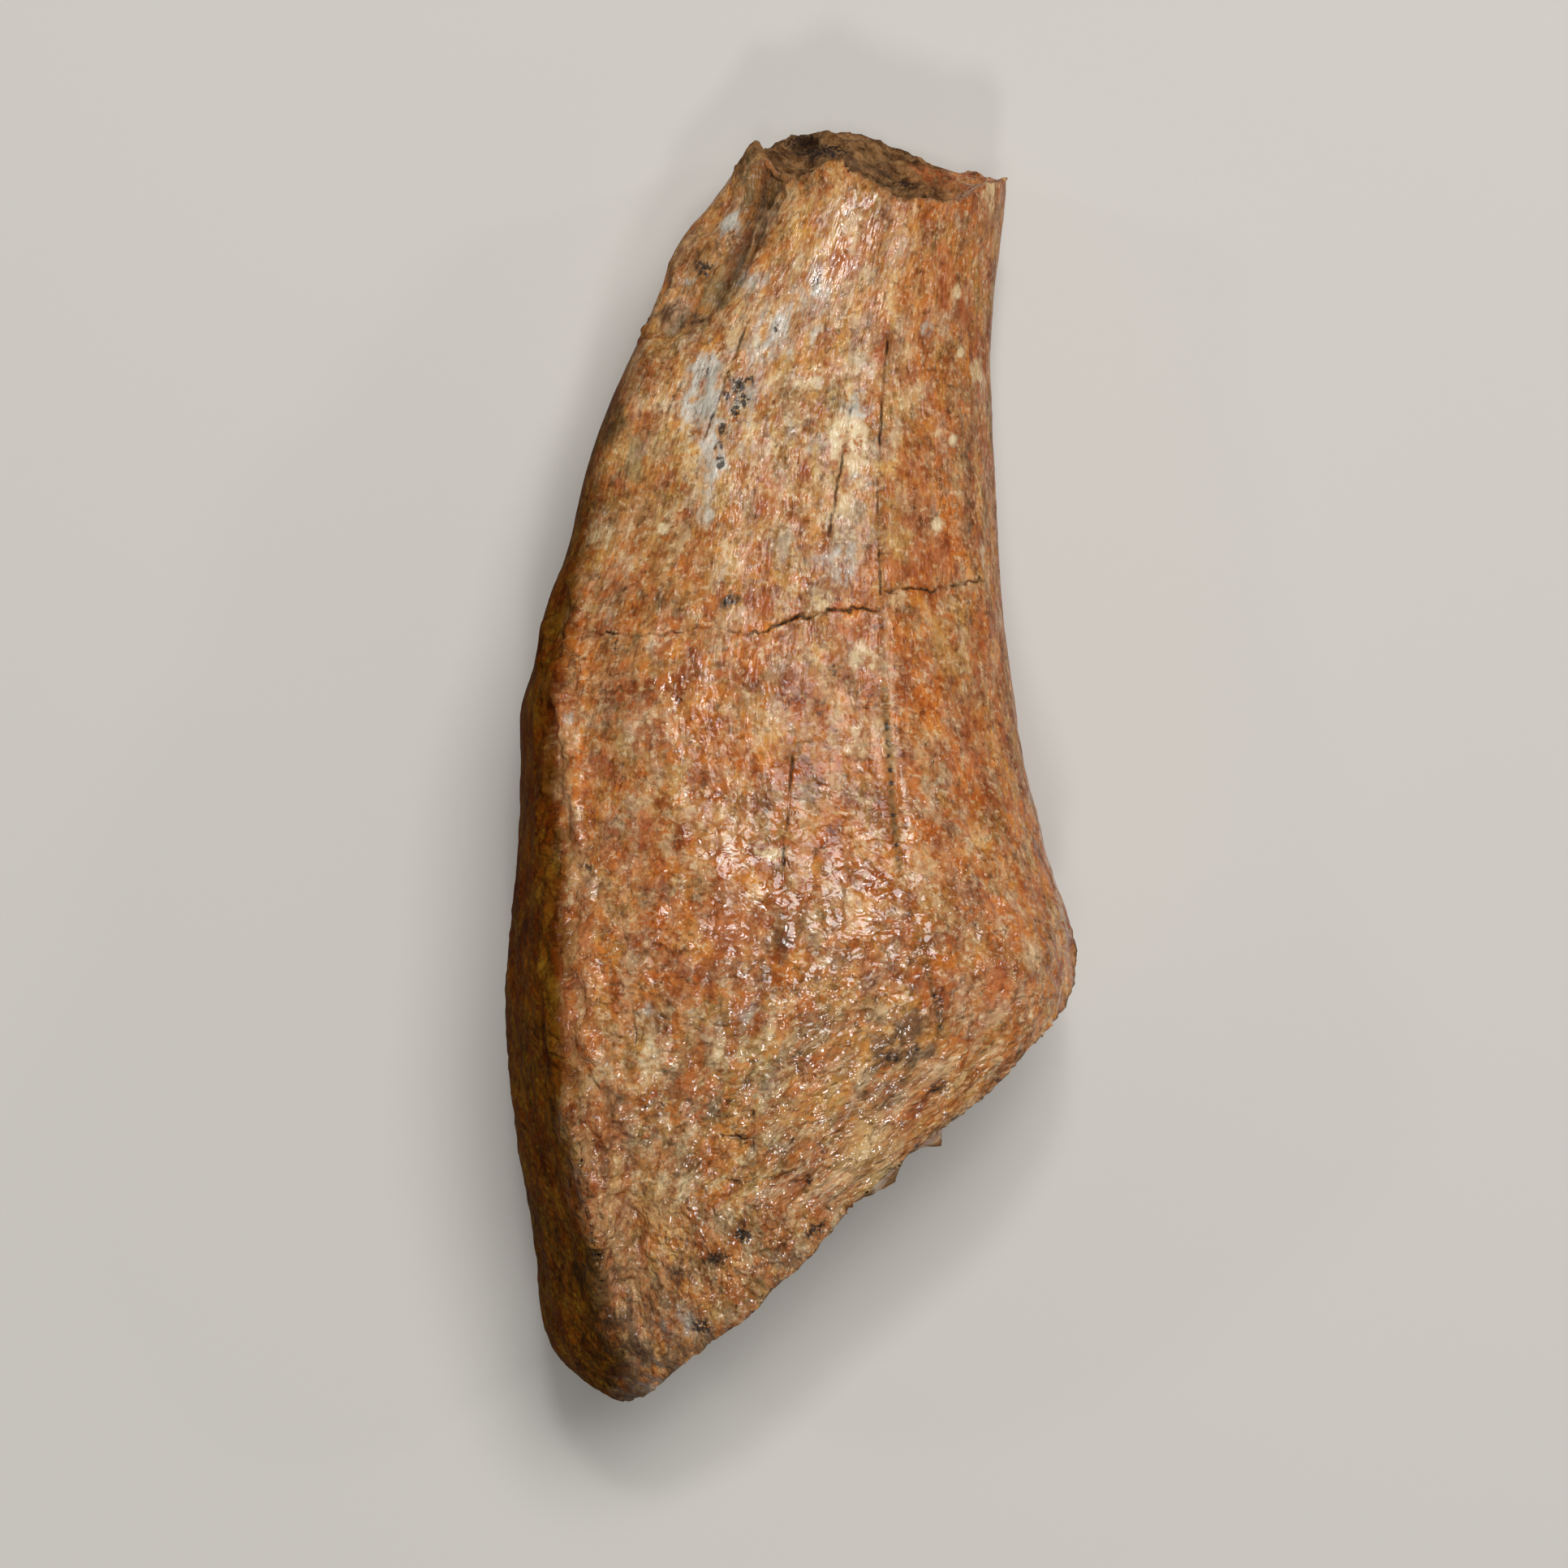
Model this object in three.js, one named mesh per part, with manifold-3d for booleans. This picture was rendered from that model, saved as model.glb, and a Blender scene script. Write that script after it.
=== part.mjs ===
// A fossil tyrannosaur tooth: one piece, snapped across near the tip, broken off on a slant
// at the base, and worn smooth between the two breaks.
// Millimetres, +Z up. +Y runs along the tooth from the base to the tip, and the tooth lies on
// a flat worn into its underside. The origin is on that flat, under the middle of the tooth.
import * as THREE from "three";
import { ImprovedNoise } from "three/addons/math/ImprovedNoise.js";
import { mergeVertices } from "three/addons/utils/BufferGeometryUtils.js";
import Module from "manifold-3d";

const wasm = await Module();
wasm.setup();

// Driving dimensions

// The whole tooth before it broke, as stations along its length. left and right are its two
// edges (x), under and crest the lowest and highest points of the section there (z).
const stations = [
  { y: -34.0, left: -13.7, right: 13.0, under: 2.2, crest: 15.0 },
  { y: -27.0, left: -12.8, right: 13.4, under: 1.1, crest: 16.8 },
  { y: -19.0, left: -13.9, right: 13.8, under: -0.1, crest: 19.1 },
  { y: -10.8, left: -14.5, right: 14.7, under: -0.5, crest: 20.3 },
  { y: -4.0, left: -13.7, right: 12.8, under: -0.5, crest: 19.7 },
  { y: 2.6, left: -13.4, right: 11.4, under: -0.4, crest: 18.6 },
  { y: 7.6, left: -12.25, right: 10.7, under: -0.2, crest: 17.8 },
  { y: 10.9, left: -10.95, right: 10.5, under: -0.1, crest: 17.2 },
  { y: 15.9, left: -9.9, right: 10.3, under: 0.1, crest: 16.3 },
  { y: 22.5, left: -7.55, right: 10.2, under: 0.5, crest: 15.0 },
  { y: 27.5, left: -4.95, right: 10.8, under: 0.8, crest: 14.1 },
  { y: 36.0, left: 1.0, right: 11.7, under: 1.6, crest: 12.6 },
];
const frontFullness = 2.7; // 2 makes the upper side an ellipse, more makes it squarer
const underFullness = 2.3;
const endRounding = { from: -26.0, length: 7.7, fullness: 2.35 }; // the rounded lower end
const facets = { around: 80, along: 58, shareAtLowerEnd: 0.4 };

// The worn edge down the left of the upper side, which fades away at the lower end.
const ridge = { height: 0.85, width: 1.1, whole: -24, gone: -34 };
const ridgeLine = [[24, -5.4], [8, -11.3], [-2, -11.6], [-12, -11.4], [-19, -10.0], [-30, -8.2]];
const furrow = { depth: 0.55, width: 0.9, from: -20.5, to: -29.5 };
const furrowLine = [[-19, -8.0], [-24, -8.3], [-30, -7.8]];
const carina = { height: 0.28, width: 0.9 }; // the worn cutting edge down the upper side
const carinaLine = [[32, 6.4], [22, 4.9], [8, 4.6], [-3, 5.2], [-13, 7.6], [-22, 9.0]];
const lumps = { height: 0.3, across: 4.5, along: 11 };
// A small swelling of the left edge.
const leftKnob = { y: 2.7, height: 0.35, length: 1.1, depth: 5 };

const restFlat = { width: 60, length: 90, depth: 12 };

// The snapped tip: the far rim lies low, the near rim on the upper side, and the rough
// surface dips from one to the other.
const tipRimFar = [
  [-6, 30.0],
  [-2.2, 31.9],
  [-1, 32.6],
  [0.5, 33.2],
  [3.8, 33.0],
  [6.1, 32.1],
  [8.5, 31.1],
  [13, 31.0],
];
const tipRimNear = [
  [-6, 31.0],
  [-1.4, 31.2],
  [-0.7, 29.9],
  [0.9, 29.7],
  [2.3, 30.4],
  [4.5, 29.0],
  [5.8, 28.2],
  [6.5, 28.6],
  [7.7, 28.2],
  [8.6, 28.6],
  [10.5, 29.7],
  [13, 30.2],
];
const tipBreak = {
  middle: 4,
  width: 26,
  floor: -3,
  depth: 24,
  end: 44,
  cells: { across: 40, deep: 22 },
  deepEnd: 3.2,
  nearEnd: 11.6,
  grain: 0.45,
  grainSize: 2.6,
};
// A hollow in the snapped surface, behind the near rim.
const tipPit = { x: 0.9, height: 7.5, width: 1.2, depth: 1.7, inward: 0.9 };

// The slanting break at the base: from the shoulder on the right down to the lower end.
const baseBreak = {
  shoulder: new THREE.Vector2(14.1, -12.6),
  foot: new THREE.Vector2(-7.3, -32.4),
  overrun: 12,
  floor: -4,
  depth: 30,
  thickness: 30,
  cells: { along: 40, deep: 18 },
  undercut: 0.12, // how far it slopes back under the upper side, per millimetre of depth
  rimHeight: 19.3, // the height at which the slanting line is exact
  grain: 0.5,
  grainSize: 2.8,
  rimGrain: 0.12, // the rim itself is straighter than the face below it
  rimFrom: 11, // where the face starts to straighten, and where it is straight
  rimWhole: 16,
};
// How far its upper rim strays from the straight line, by distance from the shoulder.
const baseRim = [
  [-4, -3.0],
  [-1.5, -0.7],
  [1, -0.3],
  [3.5, -0.5],
  [5.5, -0.4],
  [10, -0.9],
  [15, -0.65],
  [18, -0.25],
  [19.5, -0.3],
  [21, 0.0],
  [25, -0.1],
  [29, 0.2],
];
const ledges = [
  { along: 8.8, height: 11.5, length: 0.8, depth: 2.6, out: 3.1 },
  { along: 12.4, height: 12.5, length: 1.9, depth: 2.2, out: 2.0 },
  { along: 21.3, height: 11.0, length: 1.6, depth: 4.0, out: 0.3 },
];
const pulpHollow = { along: 13.0, height: 6.5, length: 6.5, depth: 3.6, inward: 1.6 };

// The flake missing from the left of the upper side, below the tip.
const flake = {
  centre: new THREE.Vector3(-5.5, 27.0, 13.4),
  radii: new THREE.Vector3(3.5, 6.3, 2.2),
  fullness: 3.2, // 2 makes it a plain egg, more makes its floor flatter and its walls steeper
  lean: THREE.MathUtils.degToRad(-27), // turned in plan, to follow the left edge
  roll: THREE.MathUtils.degToRad(-20), // tipped outwards, to lie on the shoulder
  pitch: THREE.MathUtils.degToRad(-6), // shallower towards the base
  grain: 0.14,
};

// Helpers

const noise = new ImprovedNoise();
const mix = THREE.MathUtils.lerp;
const rise = THREE.MathUtils.smoothstep;
const bell = (distance, width) => Math.exp(-((distance / width) ** 2));

// A smooth curve through [position, value] pairs, held level beyond its ends.
function through(pairs) {
  const sorted = [...pairs].sort((a, b) => a[0] - b[0]);
  const places = sorted.map((pair) => pair[0]);
  const values = sorted.map((pair) => pair[1]);
  const curve = new THREE.CubicInterpolant(places, values, 1);
  return (place) => curve.evaluate(THREE.MathUtils.clamp(place, places[0], places.at(-1)))[0];
}

// Rough ground: two octaves of noise, in millimetres.
function rough(x, y, z, size) {
  const fineSize = size / 2.3;
  const coarse = noise.noise(x / size, y / size, z / size);
  return coarse + 0.5 * noise.noise(x / fineSize, y / fineSize, 9 + z / size);
}

// Moves every vertex of a geometry by move(point), which changes the point it is given.
function reshape(geometry, move) {
  const position = geometry.getAttribute("position");
  const point = new THREE.Vector3();
  for (let i = 0; i < position.count; i++) {
    move(point.fromBufferAttribute(position, i));
    position.setXYZ(i, point.x, point.y, point.z);
  }
  return geometry;
}

// A closed three.js geometry as a solid that can be cut.
function solid(geometry) {
  const bare = geometry.clone();
  bare.deleteAttribute("normal");
  bare.deleteAttribute("uv");
  const merged = mergeVertices(bare, 1e-4);
  return new wasm.Manifold(
    new wasm.Mesh({
      numProp: 3,
      vertProperties: merged.attributes.position.array,
      triVerts: new Uint32Array(merged.index.array),
    }),
  );
}

// The whole tooth

const side = (name) => through(stations.map((station) => [station.y, station[name]]));
const [leftEdge, rightEdge, underside, crest] = ["left", "right", "under", "crest"].map(side);
const ridgeAt = through(ridgeLine);
const furrowAt = through(furrowLine);
const carinaAt = through(carinaLine);

// How far a point of the surface stands proud of the plain section, in millimetres.
function relief(x, y, z, up) {
  const onRidge = ridge.height * bell(x - ridgeAt(y), ridge.width) * rise(y, ridge.gone, ridge.whole);
  const inFurrow = furrow.depth * bell(x - furrowAt(y), furrow.width);
  const furrowEnds = rise(y, furrow.to - 2, furrow.to) * (1 - rise(y, furrow.from, furrow.from + 3));
  const onCarina = carina.height * bell(x - carinaAt(y), carina.width);
  const lump = lumps.height * noise.noise(x / lumps.across, y / lumps.along, z / lumps.across);
  const onLeft = 1 - rise(x, leftEdge(y), leftEdge(y) + leftKnob.depth);
  const knob = leftKnob.height * bell(y - leftKnob.y, leftKnob.length) * onLeft;
  return up * (onRidge - inFurrow * furrowEnds + onCarina) + lump + knob;
}

// Wraps a unit sphere, whose poles are on Y, onto the tooth.
function wrapTooth(point) {
  const first = stations[0].y;
  const last = stations.at(-1).y;
  const share = Math.acos(THREE.MathUtils.clamp(point.y, -1, 1)) / Math.PI;
  const crowded = mix(share, Math.sin((share * Math.PI) / 2), facets.shareAtLowerEnd);
  const end = endRounding.from - endRounding.length;
  const y = mix(last, Math.max(first, end), crowded);
  const past = THREE.MathUtils.clamp((endRounding.from - y) / endRounding.length, 0, 1);
  const closing = (1 - past ** endRounding.fullness) ** (1 / endRounding.fullness);
  const atPole = share < 1e-6 || share > 1 - 1e-6; // all of a pole's vertices meet in one point
  const turn = Math.atan2(point.z, point.x);
  const across = Math.cos(turn);
  const height = Math.sin(turn);
  const fullness = height > 0 ? frontFullness : underFullness;
  const reach = (Math.abs(across) ** fullness + Math.abs(height) ** fullness) ** (-1 / fullness);
  const middle = new THREE.Vector2((leftEdge(y) + rightEdge(y)) / 2, (underside(y) + crest(y)) / 2);
  const half = new THREE.Vector2((rightEdge(y) - leftEdge(y)) / 2, (crest(y) - underside(y)) / 2);
  const spread = atPole ? 0 : reach * closing;
  const x = middle.x + half.x * spread * across;
  const z = middle.y + half.y * spread * height;
  const outward = new THREE.Vector2(across / half.x, height / half.y).normalize();
  const proud = relief(x, y, z, rise(height, 0.05, 0.5)) * Math.min(1, spread);
  point.set(x + outward.x * proud, y, z + outward.y * proud);
}

function wholeTooth() {
  return solid(reshape(new THREE.SphereGeometry(1, facets.around, facets.along), wrapTooth));
}

// What is missing from it

// A block whose underside is the snapped surface near the tip.
function tipCutter() {
  const { middle, width, floor, depth, end, cells, deepEnd, nearEnd, grain, grainSize } = tipBreak;
  const far = through(tipRimFar);
  const near = through(tipRimNear);
  const block = new THREE.BoxGeometry(width, end, depth, cells.across, 1, cells.deep);
  block.translate(middle, end / 2, floor + depth / 2);
  return solid(
    reshape(block, (point) => {
      if (point.y > 1) return;
      const { x, z } = point;
      const surface = mix(far(x), near(x), rise(z, deepEnd, nearEnd));
      const pit = tipPit.inward * bell(x - tipPit.x, tipPit.width) * bell(z - tipPit.height, tipPit.depth);
      const belowRim = 1 - rise(z, nearEnd, nearEnd + 2);
      point.y = surface - pit + grain * belowRim * rough(x, 7, z, grainSize);
    }),
  );
}

// A block whose near face is the slanting break. It is made along its own axes, x along the
// break from the shoulder, y outwards and z up, and then laid in place.
function baseCutter() {
  const { shoulder, foot, overrun, floor, depth, thickness, cells, undercut } = baseBreak;
  const { rimHeight, grain, grainSize, rimGrain, rimFrom, rimWhole } = baseBreak;
  const rim = through(baseRim);
  const run = foot.clone().sub(shoulder);
  const length = run.length() + 2 * overrun;
  const block = new THREE.BoxGeometry(length, thickness, depth, cells.along, 1, cells.deep);
  block.translate(length / 2 - overrun, thickness / 2, floor + depth / 2);
  reshape(block, (point) => {
    if (point.y > 1) return;
    const { x: along, z: height } = point;
    const stepped = ledges.reduce(
      (sum, ledge) =>
        sum + ledge.out * bell(along - ledge.along, ledge.length) * bell(height - ledge.height, ledge.depth),
      0,
    );
    const hollow =
      pulpHollow.inward *
      bell(along - pulpHollow.along, pulpHollow.length) *
      bell(height - pulpHollow.height, pulpHollow.depth);
    const slope = undercut * (height - rimHeight);
    const grainHere = mix(grain, rimGrain, rise(height, rimFrom, rimWhole));
    const roughness = grainHere * rough(along, 3, height, grainSize);
    point.y = rim(along) + slope + stepped - hollow + roughness;
  });
  const alongAxis = new THREE.Vector3(run.x, run.y, 0).normalize();
  const outAxis = new THREE.Vector3(-run.y, run.x, 0).normalize();
  const frame = new THREE.Matrix4().makeBasis(alongAxis, outAxis, new THREE.Vector3(0, 0, 1));
  return solid(block.applyMatrix4(frame.setPosition(shoulder.x, shoulder.y, 0)));
}

// A rough spoon of stone: the flake that sprang off below the tip.
function flakeCutter() {
  const { centre, radii, fullness, lean, roll, pitch, grain } = flake;
  const spoon = new THREE.IcosahedronGeometry(1, 11);
  reshape(spoon, (point) => {
    const { x, y, z } = point;
    const squareness = Math.abs(x) ** fullness + Math.abs(y) ** fullness + Math.abs(z) ** fullness;
    const swell = squareness ** (-1 / fullness) + grain * rough(3 * x, 3 * y, 3 * z, 1.5);
    point.multiplyScalar(swell).multiply(radii);
  });
  spoon.rotateX(pitch);
  spoon.rotateY(roll);
  spoon.rotateZ(lean);
  return solid(spoon.translate(...centre));
}

// Everything below the flat that the tooth lies on.
function groundCutter() {
  const { width, length, depth } = restFlat;
  return solid(new THREE.BoxGeometry(width, length, depth).translate(0, 0, -depth / 2));
}

// The piece

function toothGeometry() {
  const cutters = [tipCutter(), baseCutter(), flakeCutter(), groundCutter()];
  const made = cutters.reduce((tooth, cutter) => tooth.subtract(cutter), wholeTooth());
  const mesh = made.getMesh();
  const geometry = new THREE.BufferGeometry();
  geometry.setAttribute("position", new THREE.BufferAttribute(mesh.vertProperties, 3));
  geometry.setIndex(new THREE.BufferAttribute(mesh.triVerts, 1));
  geometry.computeBoundingBox();
  const middle = geometry.boundingBox.getCenter(new THREE.Vector3());
  geometry.translate(-middle.x, -middle.y, 0);
  geometry.computeVertexNormals();
  return geometry;
}

const fossilSurface = new THREE.MeshStandardMaterial({ color: 0xb2804f, roughness: 0.42, metalness: 0 });
const tooth = new THREE.Mesh(toothGeometry(), fossilSurface);
tooth.name = "tooth";

const fossil = new THREE.Group();
fossil.add(tooth);

export default fossil;
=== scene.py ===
# A worn, varnished fossil tooth, broken at both ends, lying on a pale table and seen from above.
import math

import bmesh
import bpy
import numpy as np
from mathutils import Euler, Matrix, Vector, noise


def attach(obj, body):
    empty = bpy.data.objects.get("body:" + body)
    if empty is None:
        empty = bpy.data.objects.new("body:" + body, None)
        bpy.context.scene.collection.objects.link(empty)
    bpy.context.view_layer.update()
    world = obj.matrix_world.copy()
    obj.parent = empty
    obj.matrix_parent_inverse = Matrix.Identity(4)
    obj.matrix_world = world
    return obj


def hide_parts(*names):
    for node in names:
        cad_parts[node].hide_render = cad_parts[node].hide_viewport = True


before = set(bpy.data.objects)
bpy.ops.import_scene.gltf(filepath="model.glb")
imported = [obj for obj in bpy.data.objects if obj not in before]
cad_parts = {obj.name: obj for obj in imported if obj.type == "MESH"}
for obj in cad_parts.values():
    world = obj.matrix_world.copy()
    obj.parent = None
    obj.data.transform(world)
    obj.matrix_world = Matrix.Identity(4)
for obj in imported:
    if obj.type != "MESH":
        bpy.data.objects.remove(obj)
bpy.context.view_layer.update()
mm = 0.001


def tint(red, green, blue):  # a screen colour, 0 to 255, as the renderer's linear colour
    parts = [c / 255 for c in (red, green, blue)]
    return [p / 12.92 if p < 0.04 else ((p + 0.055) / 1.055) ** 2.4 for p in parts] + [1.0]


# the table, the camera and the lights

setUp = {
    "tableSize": 3.0,  # metres
    "tableColour": (208, 204, 197),
    "cameraHeight": 223 * mm,
    "cameraOver": (-0.23 * mm, -1.43 * mm),  # the point of the table it looks at
    "lens": 96.1,
    "keyFrom": (0.2, 0.36, 0.91),  # towards the main light, a little to the upper right
    "keyAway": 0.55,
    "keySize": 0.26,
    "keyPower": 1.7,
    "sparks": [  # small lamps that make the glints on the varnish: towards, power
        ((-0.01, 0.2, 0.98), 0.12),
        ((-0.04, -0.19, 0.98), 0.2),
        ((0.0, -0.52, 0.85), 0.4),
        ((-0.01, 0.43, 0.9), 0.38),
        ((0.8, 0.22, 0.56), 0.14),
        ((-0.74, 0.17, 0.65), 0.1),
    ],
    "sparkSize": 0.06,
    "fillPower": 0.12,
    "skyLight": 0.06,
}


def layTable():
    bpy.ops.mesh.primitive_plane_add(size=setUp["tableSize"])
    table = bpy.context.object
    table.name = "table"
    finish = bpy.data.materials.new("paleTable")
    finish.use_nodes = True
    shader = finish.node_tree.nodes["Principled BSDF"]
    shader.inputs["Base Color"].default_value = tint(*setUp["tableColour"])
    shader.inputs["Roughness"].default_value = 0.7
    table.data.materials.append(finish)


def hangLight(name, towards, away, size, power):
    direction = Vector(towards).normalized()
    lamp = bpy.data.lights.new(name, "AREA")
    lamp.shape = "DISK"
    lamp.size = size
    lamp.energy = power
    light = bpy.data.objects.new(name, lamp)
    light.location = direction * away
    light.rotation_euler = direction.to_track_quat("Z", "Y").to_euler()
    bpy.context.collection.objects.link(light)


def setCamera():
    lens = bpy.data.cameras.new("camera")
    lens.lens = setUp["lens"]
    lens.clip_start = 0.01
    camera = bpy.data.objects.new("camera", lens)
    camera.location = (*setUp["cameraOver"], setUp["cameraHeight"])
    bpy.context.collection.objects.link(camera)
    bpy.context.scene.camera = camera


def setLight():
    hangLight("keyLight", setUp["keyFrom"], setUp["keyAway"], setUp["keySize"], setUp["keyPower"])
    for towards, power in setUp["sparks"]:
        hangLight("sparkLight", towards, setUp["keyAway"], setUp["sparkSize"], power)
    hangLight("fillLight", (0.5, -0.7, 0.6), 0.8, 0.5, setUp["fillPower"])
    world = bpy.data.worlds.new("studio")
    world.use_nodes = True
    background = world.node_tree.nodes["Background"]
    background.inputs["Color"].default_value = (1, 1, 1, 1)
    background.inputs["Strength"].default_value = setUp["skyLight"]
    bpy.context.scene.world = world
    bpy.context.scene.view_settings.view_transform = "Standard"


layTable()
setCamera()
setLight()
print("table, camera and lights are set")

# the tooth's shape, all in millimetres: x across, y towards the tip, z up

toothForm = {
    "grain": 0.4,  # the spacing of the even mesh, halved on the upper side
    "crackBand": (0.26, 0.13),  # how near a crack the mesh is made finer, and finer again
    "sharp": 0.8,  # edges of the solid that turn by more than this stay crisp, in radians
    "waves": 0.15,
    "lumps": 0.07,
    "pits": 0.06,
    "fibres": 0.03,
    "brokenGrain": 0.26,  # roughness of the broken faces
    "rimWear": 2,
    "meanWidth": 23,
}

baseBreak = {
    "shoulder": (14.2, -13.1),
    "foot": (-7.2, -32.9),
    "rimHeight": 19.3,
    "undercut": 0.12,
    "rim": [(-4, -3.0), (-1.5, -0.7), (1, -0.3), (3.5, -0.5), (5.5, -0.4), (10, -0.9), (15, -0.65), (18, -0.25),
            (21, 0.0), (25, -0.1), (29, 0.2)],
    "bumps": [  # along, height, length, depth, out
        (8.8, 11.5, 0.8, 2.6, 3.1),
        (12.4, 12.5, 1.9, 2.2, 2.0),
        (21.3, 11.0, 1.6, 4.0, 0.3),
        (13.0, 6.5, 6.5, 3.6, -1.6),
    ],
}
tipBreak = {
    "far": [(-6, 29.5), (-2.1, 31.4), (-0.9, 32.1), (0.6, 32.7), (3.9, 32.5), (6.2, 31.6), (8.6, 30.6), (13, 30.5)],
    "near": [(-6, 30.5), (-1.3, 30.7), (-0.6, 29.4), (1.0, 29.2), (2.4, 29.9), (4.6, 28.5), (5.9, 27.7), (6.6, 28.1),
             (7.8, 27.7), (8.7, 28.1), (10.6, 29.2), (13, 29.7)],
    "deepEnd": 3.2,
    "nearEnd": 11.6,
}
flake = {
    "centre": (-5.4, 26.5, 13.4),
    "radii": (3.5, 6.3, 2.2),
    "fullness": 3.2,
    "turn": (math.radians(-6), math.radians(-20), math.radians(-27)),
}
crevices = {  # dark splits in the snapped tip, just behind its near rim: a route, depth and half width
    "left": ([(-0.5, 29.5), (0.2, 29.3), (1.2, 29.3)], 0.35, 0.16),
    "peak": ([(2.4, 29.95), (3.2, 29.5), (4.3, 28.9)], 0.45, 0.14),
    "middle": ([(4.4, 29.1), (5.0, 28.8), (5.6, 28.4)], 0.3, 0.12),
    "right": ([(5.9, 27.8), (6.5, 28.2), (7.6, 28.0)], 0.4, 0.14),
    "far": ([(3.6, 29.9), (4.6, 29.5), (5.4, 29.3)], 0.25, 0.12),
    "pocket": ([(0.5, 31.9), (1.7, 32.0)], 0.3, 0.4),
}
flakeValley = [(-0.8, 29.3), (-1.3, 27.8), (-1.8, 25.9), (-2.7, 24.3), (-3.8, 22.6), (-4.8, 21.8), (-6.0, 21.5)]

cracks = {  # each a route over the upper side, its depth and its half width
    "acrossLeft": ([(-11.4, 6.7), (-9.3, 6.0), (-6.9, 5.9), (-4.1, 6.2), (-1.5, 5.9), (0.7, 6.9)], 0.13, 0.045),
    "acrossRight": ([(-1.5, 5.9), (-0.1, 6.6), (2.3, 7.1), (4.5, 7.1)], 0.16, 0.05),
    "pastEdge": ([(4.7, 8.1), (6.1, 8.2), (6.9, 8.1), (8.4, 8.4), (9.9, 8.8)], 0.18, 0.05),
    "highLeft": ([(-2.1, 21.4), (-2.7, 19.8), (-3.3, 18.1), (-3.9, 16.5), (-4.3, 15.3)], 0.12, 0.045),
    "shortLeft": ([(-5.3, 18.6), (-6.1, 17.0)], 0.1, 0.045),
    "edgeHigh": ([(4.9, 20.8), (4.8, 19.4), (4.6, 16.6), (4.5, 15.0)], 0.14, 0.045),
    "edgeMiddle": ([(4.4, 13.4), (4.4, 10.4), (4.5, 7.6)], 0.09, 0.035),
    "highMiddle": ([(3.1, 17.3), (2.7, 14.9), (2.3, 12.4), (1.9, 10.8)], 0.11, 0.045),
    "middle": ([(0.2, 0.0), (0.0, -2.7), (-0.3, -4.7), (-0.2, -6.3)], 0.1, 0.045),
    "leftNick": ([(-10.2, -5.4), (-9.3, -5.6), (-8.5, -5.8)], 0.12, 0.05),
    "lowCross": ([(-3.4, -18.6), (-1.7, -18.7)], 0.09, 0.04),
    "lowUpright": ([(-1.7, -17.3), (-1.7, -19.4)], 0.09, 0.04),
    "lowSlant": ([(-3.2, -20.6), (-2.1, -21.1)], 0.1, 0.045),
    "lowLeft": ([(-7.6, -12.2), (-7.4, -14.2)], 0.06, 0.035),
}
glazePatches = [  # where the varnish lies thick: x, y, half width, half length, lean in degrees, strength
    (3.3, 26.8, 1.2, 1.6, -20, 1.4), (2.2, 24.4, 1.2, 1.8, -25, 1.1), (-2.6, -4.8, 1.3, 1.1, 0, 1.1),
    (2.2, -5.4, 0.9, 1.0, 0, 0.8), (6.2, -3.0, 0.8, 2.4, 0, 0.8), (0.9, -11.0, 3.2, 2.4, 0, 0.9),
    (-1.4, -18.6, 1.4, 1.2, 0, 1.2), (1.6, -19.2, 1.6, 1.0, 0, 0.9), (-3.0, -14.0, 2.2, 1.4, 0, 0.7),
    (2.2, -22.6, 1.1, 0.6, 30, 1.0), (7.4, -1.4, 0.5, 1.6, 0, 0.9), (-6.0, 3.4, 1.0, 1.4, 0, 0.5),
    (4.6, 16.4, 0.5, 0.4, 0, 0.6), (-9.2, 11.4, 1.0, 1.6, 0, 0.6), (0.0, -14.6, 2.4, 2.6, 0, 1.0),
    (-1.0, -10.4, 2.2, 1.8, 0, 0.9), (3.6, -8.0, 1.6, 1.6, 0, 0.8), (-0.6, -22.8, 1.6, 0.8, 0, 0.9),
]
cuttingEdge = {  # the worn line of beads down the upper side
    "route": [(5.0, 21.4), (4.8, 18.5), (4.5, 14.9), (4.5, 7.6), (4.6, 5.2), (4.8, 1.2), (5.0, -1.2), (5.1, -3.1),
              (5.4, -5.9), (7.0, -11.4), (7.4, -13.3)],
    "pitch": 0.62,
    "bead": 0.1,
    "strong": [(3.0, -5.5), (-10.5, -13.5)],
}
leftRidge = [(-11.4, 6.9), (-11.5, 1.2), (-11.2, -2.8), (-10.8, -6.7), (-11.0, -10.7), (-10.8, -14.6),
             (-9.6, -18.6), (-8.5, -22.7), (-8.1, -26.8)]
flankTintAndPaintedShade = {  # the left flank's darker tint and painted shade, along the tooth: how far in it reaches, the share of that where it is full, and its strength
    "reach": [(-31, 9.0), (-28, 7.6), (-25, 6.8), (-20, 4.6), (-13, 4.0), (-5, 3.2), (0, 2.8), (18, 2.6), (27, 1.4)],
    "full": [(-10, 0.6), (6, 0.5), (14, 0.2)],
    "strength": [(8, 1.0), (16, 0.9), (28, 0.55)],
}
furrow = [(-7.4, -22.0), (-7.9, -26.2), (-7.4, -28.5)]


def routeDistance(points, route):  # to a line of straight runs seen from above, and how far along it
    nearest = np.full(len(points), 1e9)
    along = np.zeros(len(points))
    travelled = 0.0
    for start, end in zip(route[:-1], route[1:]):
        start, end = np.array(start, float), np.array(end, float)
        run = end - start
        length = float(np.hypot(*run))
        share = np.clip(((points[:, :2] - start) @ run) / length**2, 0, 1)
        gap = np.hypot(*(points[:, :2] - start - share[:, None] * run).T)
        closer = gap < nearest
        nearest = np.where(closer, gap, nearest)
        along = np.where(closer, travelled + share * length, along)
        travelled += length
    return nearest, along, travelled


def bell(distance, width):
    return np.exp(-((distance / width) ** 2))


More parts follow.
